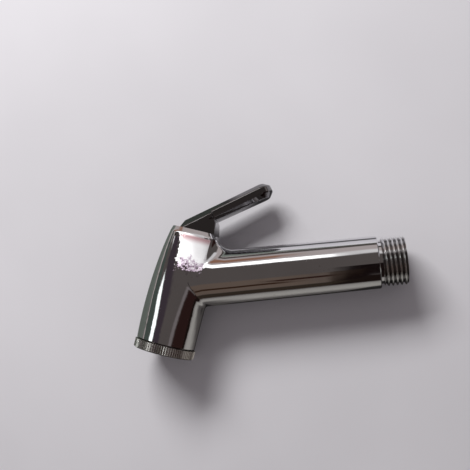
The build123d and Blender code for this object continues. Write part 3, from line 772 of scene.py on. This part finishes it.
# Soft rectangles of the room that the plating mirrors: name, degrees up (from +Z towards +Y) and
# along (from +Z towards +X), softness in degrees, colour and strength. A later one lies over an
# earlier one. The room's own tone shows between them, matt pieces are lit by an even fill, and
# the camera sees a plain backdrop.
ROOM = (
    ("upper wall", (50, 100), (-90, 90), 10, (0.42, 0.37, 0.36), 1),
    ("brown shelf", (58, 70), (-60, -7), 7, (0.26, 0.13, 0.085), 1),
    ("dark rail", (78, 88), (-60, 90), 5, (0.07, 0.06, 0.055), 1),
    ("long window", (38.5, 51), (-40, 2), 6, (1.0, 0.99, 0.98), 2.2),
    ("pale blind", (40, 56), (2, 40), 7, (0.66, 0.64, 0.64), 1),
    ("black door", (-95, -9), (1.6, 7.5), 2, (0.007, 0.004, 0.004), 1),
    ("door's foot", (-95, -26), (0.2, 4), 1.5, (0.008, 0.004, 0.003), 1),
    ("brown floor", (-72, -26), (-40, 0.2), 8, (0.115, 0.085, 0.068), 1),
    ("dark red line", (-45, -38), (-5.5, 0.6), 3, (0.02, 0.006, 0.004), 1),
    ("lower red line", (-55, -48), (-40, -4.5), 3, (0.03, 0.014, 0.008), 1),
    ("low dark", (-95, -72), (-90, 90), 5, (0.03, 0.022, 0.016), 1),
    ("doorstep", (-95, -58), (6, 90), 4, (0.010, 0.006, 0.005), 1),
    ("dark left", (-10, 44), (-40, -16), 8, (0.045, 0.034, 0.042), 1),
    ("left window", (6, 24), (-57, -42), 5, (0.95, 1.0, 0.98), 1.6),
    ("left hall", (-40, 70), (-110, -58), 8, (0.06, 0.075, 0.065), 1),
    ("right blind", (-30, 0), (22, 32), 5, (0.16, 0.14, 0.14), 1),
    ("right hall", (-70, 4), (34, 90), 8, (0.022, 0.01, 0.009), 1),
)
ROOM_TONE = (0.085, 0.073, 0.069)
EVEN_FILL = (0.235, 0.22, 0.23)
BACKDROP = (0.80, 0.79, 0.82)


def room_light():
    """World that gives the plating a room to mirror."""
    world = bpy.data.worlds.new("soft_room")
    bpy.context.scene.world = world
    world.use_nodes = True
    tree = world.node_tree
    spot = parts_of(tree, place(tree, "ShaderNodeTexCoord").outputs["Generated"])
    up, along = (math_node(tree, "MULTIPLY", math_node(tree, "ARCTAN2", spot[axis], spot["Z"]),
                           math.degrees(1.0)) for axis in ("Y", "X"))
    group = soft_patch_group()
    colour = opaque(ROOM_TONE)
    for name, height, length, softness, tint, strength in ROOM:
        patch = place(tree, "ShaderNodeGroup", {"node_tree": group, "label": name},
                      {"Up": up, "Along": along, "Up Low": height[0], "Up High": height[1],
                       "Along Low": length[0], "Along High": length[1], "Softness": softness})
        colour = mix_colour(tree, patch.outputs["Mask"], colour, opaque(tint, strength))
    path = place(tree, "ShaderNodeLightPath").outputs
    colour = mix_colour(tree, path["Is Diffuse Ray"], colour, opaque(EVEN_FILL))
    colour = mix_colour(tree, path["Is Camera Ray"], colour, opaque(BACKDROP))
    tree.links.new(colour, tree.nodes["Background"].inputs["Color"])


def lay_floor(studio):
    """Paper floor just under the handset, in the plane that it rests on."""
    clearance = 0.00005
    point, normal = resting_plane()
    turn = normal.to_track_quat("Z", "Y").to_matrix().to_4x4()
    stand = Matrix.Translation(point - normal * clearance) @ turn
    half = studio.floor_size / 2
    corners = ((-half, -half, 0), (half, -half, 0), (half, half, 0), (-half, half, 0))
    data = bpy.data.meshes.new("floor")
    data.from_pydata([stand @ Vector(corner) for corner in corners], [], [(0, 1, 2, 3)])
    data.materials.append(paper_material(studio.paper))
    floor = added("floor", data)


def hang_lamp(studio):
    """Key lamp above the handle, which the plating doesn't mirror."""
    aim, offset = Vector((-0.07, 0.0, 0.0)), Vector((-0.25, 0.60, 0.52))
    lamp = bpy.data.lights.new("key", "AREA")
    lamp.shape = "RECTANGLE"
    lamp.size = 0.5
    lamp.size_y = 0.26
    lamp.energy = studio.lamp
    key = added("key", lamp)
    key.location = aim + offset
    key.rotation_euler = (key.location - aim).to_track_quat("Z", "Y").to_euler()
    key.visible_glossy = False


def set_camera(studio):
    """Camera of the main view."""
    lens = bpy.data.cameras.new("camera")
    lens.lens = studio.lens
    lens.sensor_width = 36.0
    lens.clip_start = 0.01
    camera = added("camera", lens)
    camera.location = studio.camera
    camera.rotation_euler = studio.camera_turn
    bpy.context.scene.camera = camera


class HANDSET_OT_studio(bpy.types.Operator):
    """Pale floor under the handset, soft light and the camera"""

    bl_idname = "handset.studio"
    bl_label = "Studio"

    def execute(self, context):
        studio = context.scene.handset_studio
        lay_floor(studio)
        hang_lamp(studio)
        room_light()
        set_camera(studio)
        context.scene.view_settings.view_transform = "Standard"
        return {"FINISHED"}


class HANDSET_PT_panel(bpy.types.Panel):
    """Handset's finishes and studio"""

    bl_label = "Handset"
    bl_idname = "HANDSET_PT_panel"
    bl_space_type = "VIEW_3D"
    bl_region_type = "UI"
    bl_category = "Handset"

    def draw(self, context):
        for step in STEPS:
            self.layout.operator(step.bl_idname)
        for pointer in POINTERS:
            group = getattr(context.scene, pointer)
            box = self.layout.box()
            for name in group.__annotations__:
                box.prop(group, name)


GROUPS = (HandsetPlating, HandsetThread, HandsetTrim, HandsetStudio)
POINTERS = ("handset_plating", "handset_thread", "handset_trim", "handset_studio")
STEPS = (HANDSET_OT_body, HANDSET_OT_thread, HANDSET_OT_lever, HANDSET_OT_ring, HANDSET_OT_steel,
         HANDSET_OT_brass, HANDSET_OT_seals, HANDSET_OT_studio)


def register():
    for made in (*GROUPS, *STEPS, HANDSET_PT_panel):
        bpy.utils.register_class(made)
    for name, group in zip(POINTERS, GROUPS):
        setattr(bpy.types.Scene, name, PointerProperty(type=group))


def unregister():
    for name in POINTERS:
        delattr(bpy.types.Scene, name)
    for made in reversed((*GROUPS, *STEPS, HANDSET_PT_panel)):
        bpy.utils.unregister_class(made)


def main():
    """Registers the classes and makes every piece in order."""
    register()
    bpy.ops.handset.body()
    bpy.ops.handset.thread()
    bpy.ops.handset.lever()
    bpy.ops.handset.ring()
    bpy.ops.handset.steel()
    bpy.ops.handset.brass()
    bpy.ops.handset.seals()
    bpy.ops.handset.studio()


if __name__ == "__main__":
    main()
